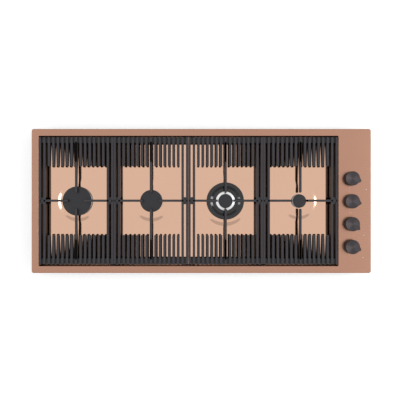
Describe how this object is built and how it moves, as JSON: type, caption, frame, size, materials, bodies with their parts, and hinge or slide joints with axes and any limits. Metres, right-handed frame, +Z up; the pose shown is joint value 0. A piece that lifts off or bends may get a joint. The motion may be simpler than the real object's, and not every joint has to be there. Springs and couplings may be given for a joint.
{
  "type": "gas_cooktop",
  "caption": "built-in gas cooktop with a copper-coloured plate, a sunk well, flush comb grates and upright knobs at the right",
  "frame": {"origin": "middle of the underside of the lower box", "axes": "+X along the length towards the knobs, +Y to the back, +Z up"},
  "size_m": [1.2, 0.51, 0.096],
  "materials": {
    "copper_steel": "satin copper-coloured steel",
    "cast_iron": "matt black cast iron",
    "black_enamel": "satin black enamel",
    "cast_aluminium": "plain cast",
    "crown_aluminium": "plain cast",
    "bright_aluminium": "turned bright",
    "knob_metal": "spun dark metal",
    "zinc_steel": "zinc-coated sheet",
    "brass": "plain",
    "tube_aluminium": "drawn tube",
    "ceramic": "glazed white",
    "foam": "closed-cell foam",
    "black_plastic": "moulded"
  },
  "bodies": {
    "hob": {"top_plate": "copper_steel", "under_box": "zinc_steel", "worktop_seal": "foam", "worktop_clamp_1": "zinc_steel", "worktop_clamp_2": "zinc_steel", "worktop_clamp_3": "zinc_steel", "worktop_clamp_4": "zinc_steel", "burner_cup_1": "cast_aluminium", "burner_cup_2": "cast_aluminium", "burner_cup_3": "cast_aluminium", "burner_cup_4": "cast_aluminium", "burner_crown_1": "crown_aluminium", "burner_crown_2": "crown_aluminium", "burner_crown_3": "crown_aluminium", "burner_crown_4": "crown_aluminium", "spark_plug_1": "ceramic", "spark_plug_2": "ceramic", "spark_plug_3": "ceramic", "spark_plug_4": "ceramic", "thermocouple_1": "brass", "thermocouple_2": "brass", "thermocouple_3": "brass", "thermocouple_4": "brass", "wok_inner_crown": "bright_aluminium", "gas_tap_1": "brass", "gas_tap_2": "brass", "gas_tap_3": "brass", "gas_tap_4": "brass", "gas_pipe_1": "tube_aluminium", "gas_pipe_2": "tube_aluminium", "gas_pipe_3": "tube_aluminium", "gas_pipe_4": "tube_aluminium", "ignition_switch_strip": "black_plastic", "gas_manifold": "zinc_steel", "tap_bracket": "zinc_steel", "gas_inlet": "brass", "cable_gland": "black_plastic", "ignition_module": "black_plastic"},
    "grate_1_body": {"grate_1": "cast_iron"},
    "grate_2_body": {"grate_2": "cast_iron"},
    "grate_3_body": {"grate_3": "cast_iron"},
    "grate_4_body": {"grate_4": "cast_iron"},
    "cap_1_body": {"burner_cap_1": "black_enamel"},
    "cap_2_body": {"burner_cap_2": "black_enamel"},
    "cap_3_body": {"burner_cap_3": "black_enamel"},
    "cap_4_body": {"burner_cap_4": "black_enamel"},
    "wok_inner_cap_body": {"wok_inner_cap": "black_enamel"},
    "press_1": {"press_collar_1": "black_plastic"},
    "knob_1_body": {"knob_1": "knob_metal", "tap_spindle_1": "zinc_steel"},
    "press_2": {"press_collar_2": "black_plastic"},
    "knob_2_body": {"knob_2": "knob_metal", "tap_spindle_2": "zinc_steel"},
    "press_3": {"press_collar_3": "black_plastic"},
    "knob_3_body": {"knob_3": "knob_metal", "tap_spindle_3": "zinc_steel"},
    "press_4": {"press_collar_4": "black_plastic"},
    "knob_4_body": {"knob_4": "knob_metal", "tap_spindle_4": "zinc_steel"}
  },
  "joints": [
    {"name": "grate_1_lift", "type": "slide", "parent": "hob", "child": "grate_1_body", "axis": [0, 0, 1], "range_m": [0, 0.08]},
    {"name": "grate_2_lift", "type": "slide", "parent": "hob", "child": "grate_2_body", "axis": [0, 0, 1], "range_m": [0, 0.08]},
    {"name": "grate_3_lift", "type": "slide", "parent": "hob", "child": "grate_3_body", "axis": [0, 0, 1], "range_m": [0, 0.08]},
    {"name": "grate_4_lift", "type": "slide", "parent": "hob", "child": "grate_4_body", "axis": [0, 0, 1], "range_m": [0, 0.08]},
    {"name": "cap_1_lift", "type": "slide", "parent": "hob", "child": "cap_1_body", "axis": [0, 0, 1], "range_m": [0, 0.003]},
    {"name": "cap_2_lift", "type": "slide", "parent": "hob", "child": "cap_2_body", "axis": [0, 0, 1], "range_m": [0, 0.003]},
    {"name": "cap_3_lift", "type": "slide", "parent": "hob", "child": "cap_3_body", "axis": [0, 0, 1], "range_m": [0, 0.003]},
    {"name": "cap_4_lift", "type": "slide", "parent": "hob", "child": "cap_4_body", "axis": [0, 0, 1], "range_m": [0, 0.04]},
    {"name": "wok_inner_cap_lift", "type": "slide", "parent": "hob", "child": "wok_inner_cap_body", "axis": [0, 0, 1], "range_m": [0, 0.04]},
    {"name": "knob_1_push", "type": "slide", "parent": "hob", "child": "press_1", "axis": [0, 0, -1], "range_m": [0, 0.003], "stiffness_N_per_m": 800, "springref_m": -0.006},
    {"name": "knob_1_turn", "type": "hinge", "parent": "press_1", "child": "knob_1_body", "pos_m": [0.529, 0.079, 0.074], "axis": [0, 0, 1], "range_deg": [0, 210]},
    {"name": "knob_2_push", "type": "slide", "parent": "hob", "child": "press_2", "axis": [0, 0, -1], "range_m": [0, 0.003], "stiffness_N_per_m": 800, "springref_m": -0.006},
    {"name": "knob_2_turn", "type": "hinge", "parent": "press_2", "child": "knob_2_body", "pos_m": [0.529, -0.001, 0.074], "axis": [0, 0, 1], "range_deg": [0, 210]},
    {"name": "knob_3_push", "type": "slide", "parent": "hob", "child": "press_3", "axis": [0, 0, -1], "range_m": [0, 0.003], "stiffness_N_per_m": 800, "springref_m": -0.006},
    {"name": "knob_3_turn", "type": "hinge", "parent": "press_3", "child": "knob_3_body", "pos_m": [0.529, -0.081, 0.074], "axis": [0, 0, 1], "range_deg": [0, 210]},
    {"name": "knob_4_push", "type": "slide", "parent": "hob", "child": "press_4", "axis": [0, 0, -1], "range_m": [0, 0.003], "stiffness_N_per_m": 800, "springref_m": -0.006},
    {"name": "knob_4_turn", "type": "hinge", "parent": "press_4", "child": "knob_4_body", "pos_m": [0.529, -0.161, 0.074], "axis": [0, 0, 1], "range_deg": [0, 210]}
  ]
}
